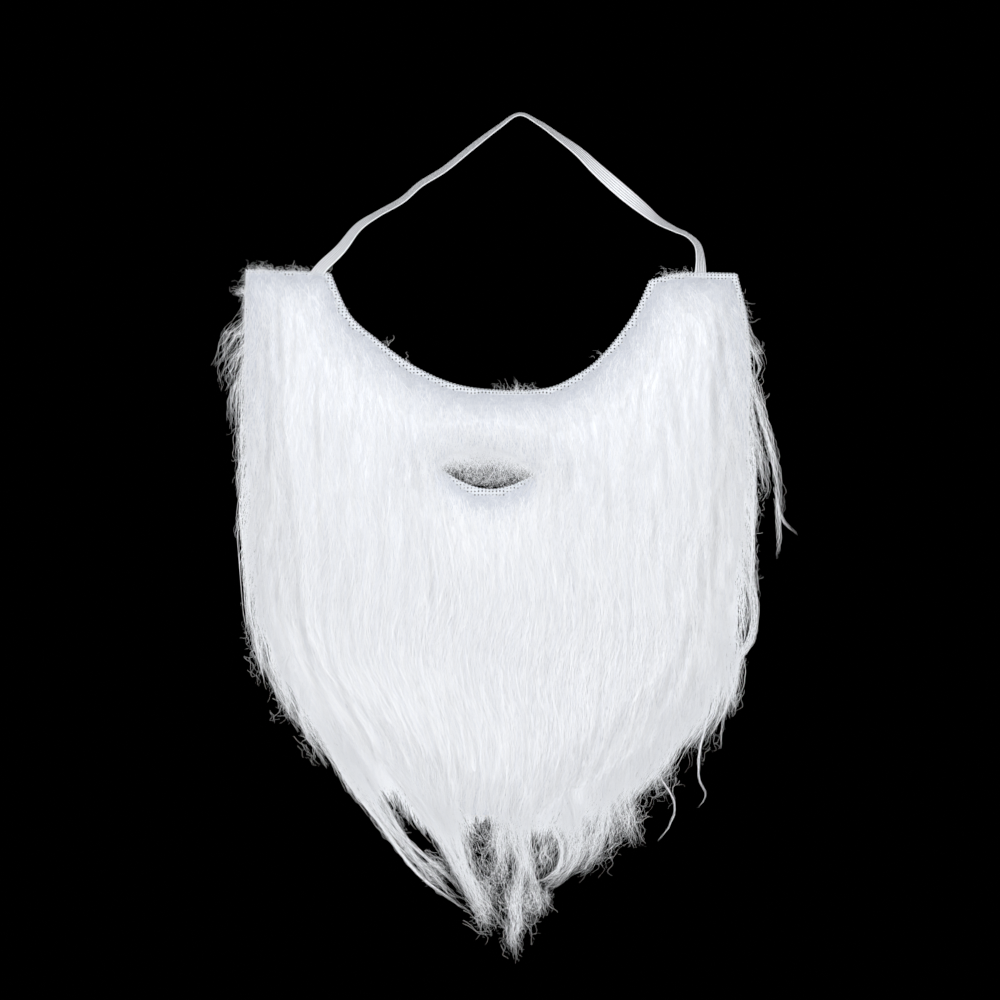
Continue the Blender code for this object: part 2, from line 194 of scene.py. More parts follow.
# Locks and wisps that leave the coat, each along a route of points from its root.
LOCKS = (
    # route of x and z, root width, tip width, fibres, curl
    (((-88, -314), (-76, -340), (-60, -362), (-34, -390)), 14, 5, 100, 1.4),
    (((-98, -308), (-88, -330), (-70, -354), (-50, -380), (-24, -399)), 3.5, 1.2, 60, 0.5),
    (((-98, -296), (-86, -324), (-72, -346), (-58, -362)), 18, 8, 300, 1.3),
    (((-72, -316), (-54, -338), (-41, -358), (-30, -379), (-21, -396)), 9, 5, 150, 0.8),
    (((-84, -318), (-70, -338), (-60, -357), (-50, -368), (-36, -380), (-26, -392)),
     3, 1.5, 34, 0.6),
    (((-74, -350), (-56, -370), (-40, -385), (-26, -395)), 10, 5, 26, 2.6),
    (((-50, -312), (-38, -348), (-28, -374), (-17, -399)), 24, 10, 270, 2.0),
    (((-46, -330), (-31, -366), (-22, -388)), 9, 7, 40, 0.8),
    (((-30, -372), (-18, -394), (-8, -408)), 14, 12, 70, 3.0),
    (((-34, -340), (-28, -372), (-17, -398)), 5, 3, 60, 0.6),
    (((-4, -326), (-4, -350), (1, -374), (-2, -392), (-4, -407)), 12, 7, 130, 2.0),
    (((-2, -352), (2, -370), (-1, -390)), 4, 3, 24, 0.6),
    (((-10, -342), (-10, -362), (-9, -384)), 10, 8, 110, 2.4),
    (((-4, -386), (-1, -402), (-3, -412), (0, -423)), 9, 2.5, 50, 2.4),
    (((6, -340), (4, -364), (7, -384), (12, -401)), 9, 5, 110, 1.8),
    (((20, -332), (28, -360), (23, -377), (9, -388)), 20, 7, 160, 1.8),
    (((14, -352), (21, -365), (19, -378), (7, -384)), 4, 2.5, 44, 0.8),
    (((16, -354), (14, -370), (16, -382)), 12, 10, 40, 3.2),
    (((40, -326), (40, -354), (35, -371), (27, -381)), 20, 9, 170, 1.8),
    (((48, -322), (45, -346), (47, -367)), 12, 8, 90, 1.8),
    (((53, -316), (51, -340), (55, -356), (59, -367)), 14, 8, 120, 1.6),
    (((63, -306), (65, -326), (68, -339)), 16, 9, 100, 1.8),
    (((68, -328), (75, -338), (78, -346), (75, -356), (69, -364)), 2.2, 0.4, 12, 0.4),
    (((72, -316), (75, -326), (76.5, -333)), 2, 0.8, 10, 0.6),
    (((74, -292), (80, -310), (85, -318)), 18, 10, 110, 1.8),
    (((103, -262), (105, -280), (102, -297)), 20, 14, 250, 1.2),
    (((90, -276), (89, -297), (83, -314)), 20, 13, 260, 1.2),
    (((76, -296), (74, -316), (69, -331)), 18, 13, 240, 1.2),
    (((61, -314), (58, -332), (54, -345)), 16, 11, 190, 1.2),
    (((96, -280), (94, -302), (90, -320), (90.5, -333), (93.5, -340), (90, -347)), 4, 0.5, 24, 0.6),
    (((100, -266), (105, -288), (106, -303)), 12, 8, 60, 1.6),
    (((104, -296), (101.5, -309), (101, -319)), 1.6, 0.4, 8, 0.5),
    (((111, -222), (118, -243), (116.5, -262), (109, -275), (108, -298)), 7, 4, 80, 0.9),
    (((112, -200), (118, -232), (118.5, -253)), 7, 3, 50, 1.0),
    (((113, -118), (122, -148), (130, -181), (131.5, -206)), 8, 3.5, 84, 1.7),
    (((128, -186), (132, -202), (140.5, -210)), 2.5, 0.8, 14, 0.9),
    (((129, -192), (130.5, -208), (129.5, -223)), 4, 1.4, 26, 1.5),
    (((112, -140), (119, -165), (124, -186), (123, -194)), 12, 8, 60, 1.8),
    (((112, -165), (117, -190), (118.5, -211)), 8, 3, 45, 1.6),
    (((112, -104), (119, -117), (122, -127)), 9, 5, 30, 2.4),
    (((114, -112), (121, -126), (114, -137)), 3, 2, 14, 1.0),
    (((-134, -98), (-145, -111), (-152, -127)), 10, 8, 26, 2.2),
    (((-134, -106), (-146, -122), (-148, -140)), 13, 9, 36, 2.4),
    (((-134, -122), (-143, -142), (-143, -160)), 10, 6, 34, 2.2),
    (((-134, -146), (-141, -162), (-139, -180)), 7, 5, 30, 1.8),
    (((-134, -162), (-140, -180), (-137, -202)), 6, 4, 32, 1.5),
    (((-134, -184), (-140, -200), (-143, -213)), 3, 1, 9, 0.8),
    (((-131, -186), (-137, -214), (-136, -240)), 7, 5, 46, 1.3),
    (((-129, -216), (-135, -244), (-131, -268)), 8, 5, 50, 1.2),
    (((-125, -240), (-131, -262), (-124, -286)), 9, 5, 56, 1.3),
    (((-128, -262), (-129, -276), (-126, -288)), 2, 1, 7, 0.6),
    (((-114, -262), (-120, -283), (-110, -302)), 10, 6, 70, 1.3),
    (((-104, -280), (-107, -302), (-94, -326)), 11, 6, 90, 1.3),
)

# Patches of thin crossing curls between the locks and along the edges.
LACE = (
    # x, z, half width, half height, fibres, heading in degrees, half length
    (-42, -377, 5, 7, 90, -48, 5),
    (-62, -352, 3, 6, 30, -55, 5),
    (-18, -393, 6, 12, 170, -65, 6),
    (-17, -363, 7, 10, 110, -80, 5),
    (-7, -361, 6, 10, 200, -85, 6),
    (-10, -378, 6, 9, 60, -80, 6),
    (0, -394, 8, 11, 230, -85, 6),
    (-3, -409, 4, 8, 80, -90, 4),
    (10, -372, 5, 7, 60, -95, 4),
    (28, -364, 15, 9, 260, -105, 7),
    (11, -393, 4, 6, 70, -70, 4),
    (50, -352, 10, 9, 170, -105, 7),
    (68, -330, 9, 9, 120, -105, 6),
    (88, -304, 9, 14, 150, -100, 6),
    (104, -266, 7, 24, 200, -95, 6),
    (113, -222, 5, 22, 120, -92, 5),
    (117, -160, 5, 30, 150, -82, 5),
    (-132, -244, 4, 30, 190, -88, 5),
    (-137, -150, 4, 26, 170, -112, 3.2),
    (-139, -128, 5, 14, 90, -125, 3.2),
    (-137, -92, 1.6, 11, 170, -120, 2),
    (-117, -282, 6, 16, 170, -68, 5),
    (-100, -306, 7, 12, 140, -58, 6),
    (-77, -325, 7, 12, 110, -56, 6),
    (-26, -356, 6, 10, 60, -70, 6),
    (-18, -171, 9, 4, 170, -85, 3.5),
    (-16, -182, 16, 3, 110, -15, 3.5),
    (22, -352, 14, 8, 130, -95, 6),
    (114, -105, 2, 14, 60, -80, 2),
)

# Wisps that stand above the cut edges: root, rise, spread across and fibres.
EDGE_WISPS = (
    # x, z, rise x, rise z, spread, fibres
    (-128, -78, -2, 2.6, 8, 120), (-112, -78.5, 0, 1.6, 9, 70), (-100, -79, 3, 3.6, 3, 22),
    (-137, -88, -3.0, 1, 5, 60), (-137, -108, -2.5, -1, 9, 60), (-66, -115, 3, 4.0, 2, 6),
    (-57, -123, 3, 2.5, 3, 6), (1, -139, 0, 5.5, 8, 70), (-8, -139, -3, 3.5, 5, 16),
    (41, -121, -3, 4.5, 3, 8), (80, -80, -2, 1.2, 8, 70), (117, -118, 2, 1, 5, 26),
)

# Floor, lamps and camera, in metres. The camera looks level along +Y.
FLOOR_SIZE = 2.4
FLOOR_HEIGHT = -0.75
LIGHT_COLOUR = (0.985, 0.991, 1.0)
LIGHT_AIM = (-0.01, 0.0, -0.21)
LAMPS = (
    # name, place, size, power
    ("key", (-0.5, -2.1, 0.3), 1.4, 30),
    ("fill", (0.6, -2.1, 0.0), 1.4, 21),
    ("back_left", (-1.2, 1.5, 0.4), 1.2, 16),
    ("back_right", (1.2, 1.5, 0.4), 1.2, 16),
)
VIEW_CENTRE = (-0.0095, -0.1925)
VIEW_DISTANCE = 2.0
VIEW_WIDTH = 0.5


def catmull(quad, share):
    """Read a Catmull-Rom curve between the middle two of four rows."""
    weights = (
        (-share + 2 * share ** 2 - share ** 3) / 2,
        (2 - 5 * share ** 2 + 3 * share ** 3) / 2,
        (share + 4 * share ** 2 - 3 * share ** 3) / 2,
        (-share ** 2 + share ** 3) / 2,
    )
    return sum(np.asarray(row, float) * weight for row, weight in zip(quad, weights))


def smooth_rows(rows, steps):
    """Return rows along a smooth curve through the given ones, with steps between two."""
    last = len(rows) - 1
    fine = []
    for index in range(last):
        quad = [rows[max(0, min(last, index + step))] for step in (-1, 0, 1, 2)]
        fine += [catmull(quad, part / steps) for part in range(steps)]
    return np.array(fine + [rows[-1]])


def cloth_outline(first=0, last=len(CLOTH_EDGE)):
    """Return x, z and bare width along the cloth edge between two of its rows."""
    points = []
    count = len(CLOTH_EDGE)
    for index in range(first, last):
        row = CLOTH_EDGE[index % count]
        after = CLOTH_EDGE[(index + 1) % count]
        start = row if row[2] else CLOTH_EDGE[index - 1]
        finish = after if after[2] else CLOTH_EDGE[(index + 2) % count]
        quad = [place[:2] for place in (start, row, after, finish)]
        for step in range(EDGE_STEPS):
            share = step / EDGE_STEPS
            bare = row[3] + (after[3] - row[3]) * share
            points.append((*catmull(quad, share), bare))
    return np.array(points)


def mouth_outline():
    """Return x, z and bare width around the mouth, clockwise from its left corner."""
    left, right = np.array(MOUTH_LEFT), np.array(MOUTH_RIGHT)
    points = []
    for start, end, rise, bare in ((left, right, 1, 0.3), (right, left, -1, MOUTH_BARE)):
        for step in range(MOUTH_STEPS):
            share = step / MOUTH_STEPS
            bulge = math.sin(math.pi * share)
            place = start + (end - start) * share + (0, rise * MOUTH_HALF_HEIGHT * bulge)
            points.append((*place, 0.3 + bare * bulge))
    return np.array(points)


OUTLINE = cloth_outline()
MOUTH = mouth_outline()
FACE_EDGE = cloth_outline(*FACE_EDGE_ROWS)
HAIR_SIDES = np.array(HAIR_FLOW, float)[::-1]


def panel_back(x, z):
    """Return the y of the cloth's back face."""
    across = (x - PANEL_CENTRE[0]) / PANEL_HALF[0]
    along = (z - PANEL_CENTRE[1]) / PANEL_HALF[1]
    return PANEL_BACK_Y + SIDE_CURL * across ** 2 - SWELL * np.exp(-along ** 2)


def cloth_front(x, z):
    """Return the y of the cloth's front face."""
    return panel_back(x, z) - CLOTH_THICKNESS


def unit(vectors):
    """Return the vectors at length 1."""
    return vectors / np.maximum(np.linalg.norm(vectors, axis=-1, keepdims=True), 1e-9)


def inside(points, outline):
    """Return which points lie inside a closed outline."""
    x, z = points[:, :1], points[:, 1:]
    start, end = outline[:, :2], np.roll(outline[:, :2], -1, axis=0)
    spans = (start[:, 1] > z) != (end[:, 1] > z)
    rise = np.where(end[:, 1] == start[:, 1], 1e-9, end[:, 1] - start[:, 1])
    crossing = start[:, 0] + (z - start[:, 1]) * (end[:, 0] - start[:, 0]) / rise
    return ((spans & (x < crossing)).sum(axis=1) % 2) == 1


def nearest_on(points, outline, closed=True):
    """Return the distance to an outline, with the nearest place and bare width on it."""
    start = outline if closed else outline[:-1]
    end = np.roll(outline, -1, axis=0) if closed else outline[1:]
    run = end - start
    level = run[:, :2]
    square = np.maximum((level ** 2).sum(1), 1e-9)
    distances, places = [], []
    for part in np.array_split(points, len(points) // 4000 + 1):
        away = part[:, None, :] - start[None, :, :2]
        share = np.clip((away * level).sum(2) / square, 0, 1)
        gap = np.linalg.norm(away - share[..., None] * level[None], axis=2)
        best = gap.argmin(axis=1)
        rows = np.arange(len(part))
        distances.append(gap[rows, best])
        places.append(start[best] + share[rows, best][:, None] * run[best])
    return np.concatenate(distances), np.concatenate(places)


def side_of_hair(z, column):
    """Return the x of the hair's left side (column 1) or right side (column 2)."""
    return np.interp(z, HAIR_SIDES[:, 0], HAIR_SIDES[:, column])


def hair_place(across, z):
    """Return the x of a place across the hair, from -1 at its left to 1 at its right."""
    left, right = side_of_hair(z, 1), side_of_hair(z, 2)
    return left + (right - left) * (across + 1) / 2


def hair_across(x, z):
    """Return how far across the hair a place is: the reverse of hair_place."""
    left, right = side_of_hair(z, 1), side_of_hair(z, 2)
    return 2 * (x - left) / (right - left) - 1


class Waves:
    """A smooth field of waves over the hair, long in the direction of its flow."""

    def __init__(self, chance, count, reach, lengths, stretch=1.0):
        self.angle = chance.uniform(-0.9, 0.9, count)
        self.length = chance.uniform(*lengths, count)
        self.phase = chance.uniform(0, math.tau, count)
        self.reach = reach * chance.uniform(0.5, 1.0, count) / math.sqrt(count / 2)
        self.stretch = stretch

    def at(self, x, z):
        """Return the sum of the waves at places."""
        total = np.zeros(np.broadcast(x, z).shape)
        for angle, length, phase, reach in zip(self.angle, self.length, self.phase, self.reach):
            along = x * math.cos(angle) + z / self.stretch * math.sin(angle)
            total = total + reach * np.sin(along * math.tau / length + phase)
        return total


class Field:
    """Values at the points of an even grid, read smoothly between them."""

    low = np.array((-180.0, -450.0))
    high = np.array((170.0, -60.0))
    xs = np.arange(low[0], high[0], FIELD_PITCH)
    zs = np.arange(low[1], high[1], FIELD_PITCH)
    x, z = np.meshgrid(xs, zs, indexing="ij")

    def __init__(self, values):
        self.values = values

    def at(self, x, z):
        """Return the values at places, which are kept inside the grid."""
        u = np.clip((x - self.low[0]) / FIELD_PITCH, 0, len(self.xs) - 1.001)
        v = np.clip((z - self.low[1]) / FIELD_PITCH, 0, len(self.zs) - 1.001)
        column, row = u.astype(int), v.astype(int)
        u, v = u - column, v - row
        values = self.values
        return ((values[column, row] * (1 - u) + values[column + 1, row] * u) * (1 - v)
                + (values[column, row + 1] * (1 - u) + values[column + 1, row + 1] * u) * v)

    def slopes(self):
        """Return fields of the rise a millimetre along x and along z."""
        across, along = np.gradient(self.values, FIELD_PITCH)
        return Field(across), Field(along)


class Pile:
    """The pile's surface: its room inside the cloth's edges, its front and its slopes."""

    def __init__(self, chance):
        flat = np.stack([Field.x.ravel(), Field.z.ravel()], axis=1)
        shape = Field.x.shape
        edge, place = nearest_on(flat, OUTLINE)
        edge = np.where(inside(flat, OUTLINE), edge, -edge) - place[:, 2]
        lip, place = nearest_on(flat, MOUTH)
        lip = np.where(inside(flat, MOUTH), -lip, lip) - place[:, 2]
        ragged = Waves(chance, 6, 0.5, (7, 16)).at(Field.x, Field.z)
        room = np.minimum(edge, lip).reshape(shape) + ragged * (Field.z > RAGGED_ABOVE)
        self.room = Field(room)
        full = np.clip(room / PILE_RISE, 0, 1)
        height = 0.3 + PILE_HEIGHT * full ** 0.75
        tufts = Waves(chance, 12, TUFT_RELIEF, (6, 15), 5.0)
        across = hair_across(Field.x, Field.z) * HAIR_HALF_WIDTH
        relief = tufts.at(across, Field.z) * np.clip(room / 12, 0, 1)
        self.front = Field(cloth_front(Field.x, Field.z) - height - relief)
        self.slope_x, self.slope_z = self.front.slopes()

    def normals(self, x, z):
        """Return the directions square to the pile's surface, out of its front."""
        slope_x, slope_z = self.slope_x.at(x, z), self.slope_z.at(x, z)
        return unit(np.stack([slope_x, -np.ones_like(slope_x), slope_z], axis=-1))


# Materials

def new_material(name, colour, roughness, specular):
    """Return a new material and its shader node."""
    material = bpy.data.materials.new(name)
    material.use_nodes = True
    shader = material.node_tree.nodes["Principled BSDF"]
    shader.inputs["Base Color"].default_value = (*colour, 1.0)
    shader.inputs["Roughness"].default_value = roughness
    shader.inputs["Specular IOR Level"].default_value = specular
    return material, shader


def add_node(material, kind, **values):
    """Add a node and set its inputs; an underscore stands for a space in their names."""
    node = material.node_tree.nodes.new(kind)
    for name, value in values.items():
        node.inputs[name.replace("_", " ")].default_value = value
    return node


def link(material, source, output, target, socket):
    """Link one node's output to another node's input."""
    material.node_tree.links.new(source.outputs[output], target.inputs[socket])


def add_texture(material, kind, scale, **values):
    """Add a node that reads object coordinates at the scale, in patterns a metre."""
    place = add_node(material, "ShaderNodeTexCoord")
    mapping = add_node(material, "ShaderNodeMapping", Scale=scale)
    link(material, place, "Object", mapping, "Vector")
    texture = add_node(material, kind, **values)
    link(material, mapping, "Vector", texture, "Vector")
    return texture


def add_bump(material, shader, source, output, strength, distance):
    """Give a material fine relief from a source's output."""
    bump = add_node(material, "ShaderNodeBump", Strength=strength, Distance=distance)
    link(material, source, output, bump, "Height")
    link(material, bump, "Normal", shader, "Normal")


def ramp_between(material, source, output, dark, light, low=0.35, high=0.65):
    """Return a colour ramp from dark to light, driven by the source."""
    ramp = add_node(material, "ShaderNodeValToRGB")
    ramp.color_ramp.elements[0].position = low
    ramp.color_ramp.elements[0].color = (*dark, 1.0)
    ramp.color_ramp.elements[1].position = high
    ramp.color_ramp.elements[1].color = (*light, 1.0)
    link(material, source, output, ramp, "Fac")
    return ramp


def hair_material(name, colour, roughness):
    """Make a fibre finish with fine lengthwise streaks in its gloss."""
    material, shader = new_material(name, colour, roughness, 0.3)
    streak = add_texture(material, "ShaderNodeTexNoise", (2600.0, 2600.0, 90.0),
                         Scale=1.0, Detail=3.0)
    gloss = add_node(material, "ShaderNodeMapRange",
                     To_Min=roughness - 0.12, To_Max=roughness + 0.12)
    link(material, streak, "Fac", gloss, "Value")
    link(material, gloss, "Result", shader, "Roughness")
    return material


def knit_material():
    """Make the knit yarn: cool white, twisted fibres in the relief, warm at the foot."""
    material, shader = new_material("knit_yarn", (0.82, 0.85, 0.9), 0.85, 0.2)
    blotch = add_texture(material, "ShaderNodeTexNoise", EVEN, Scale=160.0, Detail=4.0)
    yarn_colour = ramp_between(material, blotch, "Fac", (0.8, 0.83, 0.88), (0.86, 0.88, 0.92))
    place = add_texture(material, "ShaderNodeSeparateXYZ", EVEN)
    foot = add_node(material, "ShaderNodeMapRange", From_Min=WARM_FROM, From_Max=WARM_TO)
    link(material, place, "Z", foot, "Value")
    tint = add_node(material, "ShaderNodeMixRGB", Color2=(0.86, 0.8, 0.7, 1.0))
    link(material, foot, "Result", tint, "Fac")
    link(material, yarn_colour, "Color", tint, "Color1")
    link(material, tint, "Color", shader, "Base Color")
    yarn = add_texture(material, "ShaderNodeTexWave", EVEN,
                       Scale=900.0, Distortion=3.0, Detail=2.0)
    yarn.bands_direction = "DIAGONAL"
    add_bump(material, shader, yarn, "Fac", 0.5, 0.0002)
    return material


def elastic_material(name, dark, light):
    """Make a braided elastic yarn with a fine cross weave in its colour and relief."""
    material, shader = new_material(name, light, 0.6, 0.35)
    weave = add_texture(material, "ShaderNodeTexVoronoi", EVEN, Scale=1500.0)
    ramp = ramp_between(material, weave, "Distance", light, dark, 0.2, 0.8)
    link(material, ramp, "Color", shader, "Base Color")
    add_bump(material, shader, weave, "Distance", 0.5, 0.0002)
    return material


def undercoat_material(name, dark, light):
    """Make the dense short underhair: cool white with fine long soft streaks of painted shade."""
    material, shader = new_material(name, light, 0.8, 0.2)
    streak = add_texture(material, "ShaderNodeTexNoise", (1500.0, 1500.0, 110.0),
                         Scale=1.0, Detail=5.0, Distortion=0.6)
    ramp = ramp_between(material, streak, "Fac", dark, light)
    link(material, ramp, "Color", shader, "Base Color")
    add_bump(material, shader, streak, "Fac", 0.4, 0.0005)
    return material


def undercoat_materials():
    """Make the underhair's painted shade in even steps, from thin, cool and darkest to full and
    white.
    """
    thin = np.array(UNDERHAIR_THIN_SHADE)
    full = np.array(UNDERHAIR_FULL_SHADE)
    finishes = []
    for step in range(UNDERHAIR_STEPS):
        dark, light = thin + (full - thin) * step / (UNDERHAIR_STEPS - 1)
        finishes.append(undercoat_material(f"underhair_shade_{step + 1}", tuple(dark), tuple(light)))
    return finishes


# Meshes

def mesh_object(name, points, faces, materials, slots=None, normals=None):
    """Make an object from points in millimetres and faces of one corner count."""
    points = np.asarray(points, np.float32) * MM
    faces = np.asarray(faces, np.int32)
    mesh = bpy.data.meshes.new(name)
    mesh.vertices.add(len(points))
    mesh.vertices.foreach_set("co", points.ravel())
    mesh.loops.add(faces.size)
    mesh.loops.foreach_set("vertex_index", faces.ravel())
    mesh.polygons.add(len(faces))
    mesh.polygons.foreach_set("loop_start", np.arange(len(faces)) * faces.shape[1])
    for material in materials:
        mesh.materials.append(material)
    if slots is not None:
        mesh.polygons.foreach_set("material_index", np.asarray(slots, np.int32))
    mesh.polygons.foreach_set("use_smooth", np.ones(len(faces), bool))
    mesh.update()
    if normals is not None:
        mesh.normals_split_custom_set_from_vertices(normals)
    obj = bpy.data.objects.new(name, mesh)
    bpy.context.scene.collection.objects.link(obj)
    return obj


def dress(obj, node):
    """Tie a piece to the frame's body and the solid that it replaces."""
    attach(obj, "root")
    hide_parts(node)
    return obj


def tube(path, radius, sides=5):
    """Return the points and quads of a round tube along a path of points."""
    path = np.asarray(path, float)
    run = unit(np.gradient(path, axis=0))
    side = unit(np.cross(run, (0.31, 0.87, 0.38)))
    upright = np.cross(run, side)
    angles = np.arange(sides) * math.tau / sides
    ring = (np.cos(angles)[None, :, None] * side[:, None] +
            np.sin(angles)[None, :, None] * upright[:, None])
    points = path[:, None] + ring * radius
    rows = np.arange(len(path) - 1)[:, None] * sides
    corner = np.arange(sides)[None]
    after = (corner + 1) % sides
    quads = np.stack([rows + corner, rows + after, rows + sides + after,
                      rows + sides + corner], axis=2)
    return points.reshape(-1, 3), quads.reshape(-1, 4)


def joined(shapes):
    """Join lists of points and faces into one."""
    points, faces, count = [], [], 0
    for shape_points, shape_faces in shapes:
        points.append(shape_points)
        faces.append(shape_faces + count)
        count += len(shape_points)
    return np.concatenate(points), np.concatenate(faces)


def grid_cells(kept):
    """Return the numbers of the grid's used nodes, which are used, and the kept cells."""
    used = np.zeros((kept.shape[0] + 1, kept.shape[1] + 1), int)
    for dx in (0, 1):
        for dz in (0, 1):
            used[dx:dx + kept.shape[0], dz:dz + kept.shape[1]] += kept
    index = np.cumsum(used.ravel() > 0).reshape(used.shape) - 1
    x, z = np.nonzero(kept)
    cells = np.stack([index[x, z], index[x + 1, z], index[x + 1, z + 1], index[x, z + 1]], axis=1)
    return used, cells


# Knit cloth

def make_net(material):
    """Make the warp-knit net: a sheet of small open meshes that ends at the cut edge."""
    low = OUTLINE[:, :2].min(axis=0) - NET_PITCH_X
    high = OUTLINE[:, :2].max(axis=0) + NET_PITCH_X
    xs = np.arange(low[0], high[0], NET_PITCH_X)
    zs = np.arange(low[1], high[1], NET_PITCH_Z)
    nodes = np.stack(np.meshgrid(xs, zs, indexing="ij"), axis=2)
    centres = ((nodes[:-1, :-1] + nodes[1:, 1:]) / 2).reshape(-1, 2)
    kept = (inside(centres, OUTLINE) & ~inside(centres, MOUTH))
    used, cells = grid_cells(kept.reshape(len(xs) - 1, len(zs) - 1))
    rim = (used > 0) & (used < 4)
    for edge in (OUTLINE, MOUTH):
        distance, place = nearest_on(nodes[rim], edge)
        near = distance < 1.2 * NET_PITCH_X
        moved = nodes[rim]
        moved[near] = place[near, :2]
        nodes[rim] = moved
    corners = nodes[used > 0]
    column, row = np.nonzero(used > 0)
    wale = np.where((column + row) % 2 == 0, -NET_RELIEF, NET_RELIEF)
    holes = []
    for across, along in ((-1, -1), (1, -1), (1, 1), (-1, 1)):
        u, v = 0.5 + across * NET_HOLE, 0.5 + along * NET_HOLE
        weights = ((1 - u) * (1 - v), u * (1 - v), u * v, (1 - u) * v)
        holes.append(sum(corners[cells[:, k]] * weights[k] for k in range(4)))
    ring = len(corners) + np.arange(len(cells) * 4).reshape(-1, 4)
    quads = []
    for k in range(4):
        after = (k + 1) % 4
        quads.append(np.stack([cells[:, k], cells[:, after], ring[:, after], ring[:, k]], axis=1))
    flat = np.concatenate([corners, np.stack(holes, axis=1).reshape(-1, 2)])
    depth = np.concatenate([wale, np.full(len(cells) * 4, 0.1)])
    y = panel_back(flat[:, 0], flat[:, 1]) - CLOTH_THICKNESS / 2 + depth
    points = np.stack([flat[:, 0], y, flat[:, 1]], axis=1)
    net = mesh_object("backing_net", points, np.concatenate(quads), [material])
    return dress(net, "backing")


def along_outline(outline, pitch):
    """Return places at even steps along an outline, with its outward direction."""
    steps = np.linalg.norm(np.diff(outline[:, :2], axis=0), axis=1)
    length = np.concatenate([[0], np.cumsum(steps)])
    at = np.arange(0, length[-1], pitch)
    place = np.stack([np.interp(at, length, outline[:, k]) for k in range(2)], axis=1)
    run = unit(np.gradient(place, axis=0))
    return place, np.stack([-run[:, 1], run[:, 0]], axis=1)


def make_edge_loops(material):
    """Make the cut yarn ends: a row of small loops along each bare edge of the cloth."""
    steps_per_loop = 6
    lower_lip = np.concatenate([MOUTH[MOUTH_STEPS:], MOUTH[:1]])
    foot = np.array([row[:2] for row in CLOTH_EDGE[slice(*FOOT_ROWS)]])
    shapes = []
    for edge in (cloth_outline(*BARE_EDGE_ROWS), lower_lip, foot):
        place, outward = along_outline(edge, NET_PITCH_X / steps_per_loop)
        phase = np.arange(len(place)) * math.tau / steps_per_loop
        reach = 0.2 + 0.42 * np.cos(phase)
        flat = place + outward * reach[:, None]
        y = panel_back(flat[:, 0], flat[:, 1]) - CLOTH_THICKNESS / 2 + 0.35 * np.sin(phase)
        shapes.append(tube(np.stack([flat[:, 0], y, flat[:, 1]], axis=1), YARN_RADIUS))
    points, quads = joined(shapes)
    loops = mesh_object("backing_edge_loops", points, quads, [material])
    return dress(loops, "backing")


# Elastic strap

def strap_path():
    """Return the strap's centres, turns and share of the way down to the cloth."""
    rows = [np.array(row, float) for row in STRAP_ROUTE]
    for end, inner in ((0, 1), (-1, -2)):
        run = unit(rows[end][:2] - rows[inner][:2])
        run = unit(run + (0, -1))
        hidden = np.append(rows[end][:2] + run * STRAP_END_HIDDEN, 0)
        rows.insert(0 if end == 0 else len(rows), hidden)
    stations = smooth_rows(rows, STRAP_STEPS)
    x, z = stations[:, 0], stations[:, 1]
    turn = np.radians(stations[:, 2])
    share = np.clip(z / CLOTH_TOP, 0, 1) ** 2
    lean = STRAP_WIDTH / 2 * np.sin(turn)
    y = (panel_back(x, z) + GAP + STRAP_THICKNESS / 2 + lean) * share
    return np.stack([x, y, z], axis=1), turn, share


def strap_frame():
    """Return the centres with the directions along, across and out of the strap's face."""
    centres, turn, share = strap_path()
    run = unit(np.gradient(centres, axis=0))
    x, z = centres[:, 0], centres[:, 2]
    slope_x = (panel_back(x + 1, z) - panel_back(x - 1, z)) / 2
    slope_z = (panel_back(x, z + 1) - panel_back(x, z - 1)) / 2
    square = unit(np.stack([-slope_x, np.ones_like(x), -slope_z], axis=1))
    plain = np.array([0.0, 1.0, 0.0])
    facing = unit(plain + (square - plain) * share[:, None])
    flat = unit(np.cross(run, facing))
    upright = unit(np.cross(flat, run))
    across = flat * np.cos(turn)[:, None] + upright * np.sin(turn)[:, None]
    return centres, run, across, unit(np.cross(across, run))


def make_strap(ribs, groove_shade):
    """Make the elastic with lengthwise ribs on both faces and thin rolled edges."""
    centres, _, across, out = strap_frame()
    per_face = STRAP_RIBS * RIB_STEPS
    share = np.linspace(-1, 1, per_face + 1)
    crown = np.abs(np.sin((share + 1) / 2 * STRAP_RIBS * math.pi))
    height = (STRAP_THICKNESS / 2 - RIB_DEPTH * (1 - crown)) * np.clip(1 - share ** 12, 0.05, 1)
    front = np.stack([share, height], axis=1)
    profile = np.concatenate([front, (front * (1, -1))[::-1][1:-1]])
    sides = len(profile)
    pick = 1 + PICK_RELIEF * np.where(np.arange(len(centres)) % 2 == 0, 1, -1)
    swell = profile[:, 1][None] * pick[:, None]
    points = (centres[:, None] + across[:, None] * profile[:, 0][None, :, None] * STRAP_WIDTH / 2
              + out[:, None] * swell[..., None])
    rows = np.arange(len(centres) - 1)[:, None] * sides
    corner = np.arange(sides)[None]
    after = (corner + 1) % sides
    quads = np.stack([rows + corner, rows + sides + corner,
                      rows + sides + after, rows + after], axis=2)
    step = np.arange(sides)
    rib_step = np.where(step < per_face, step, sides - 1 - step)
    # Faces at the bottoms of the grooves between the ribs get the dark finish, which is painted
    # shade in the grooves.
    low = (rib_step % RIB_STEPS == 0) & (rib_step > 1) & (rib_step < per_face - 2)
    slots = np.tile(low.astype(int), len(centres) - 1)
    caps = []
    for base, turned in ((0, False), ((len(centres) - 1) * sides, True)):
        for k in range(per_face):
            ring = [base + k, base + k + 1,
                    base + (sides - k - 1) % sides, base + (sides - k) % sides]
            caps.append(ring[::-1] if turned else ring)
    quads = np.concatenate([quads.reshape(-1, 4), np.array(caps)])
    slots = np.concatenate([slots, np.zeros(len(caps), int)])
    points = points.reshape(-1, 3)
    strap = mesh_object("elastic_strap_ribbed", points, quads, [ribs, groove_shade], slots)
    return dress(strap, "elastic_strap")


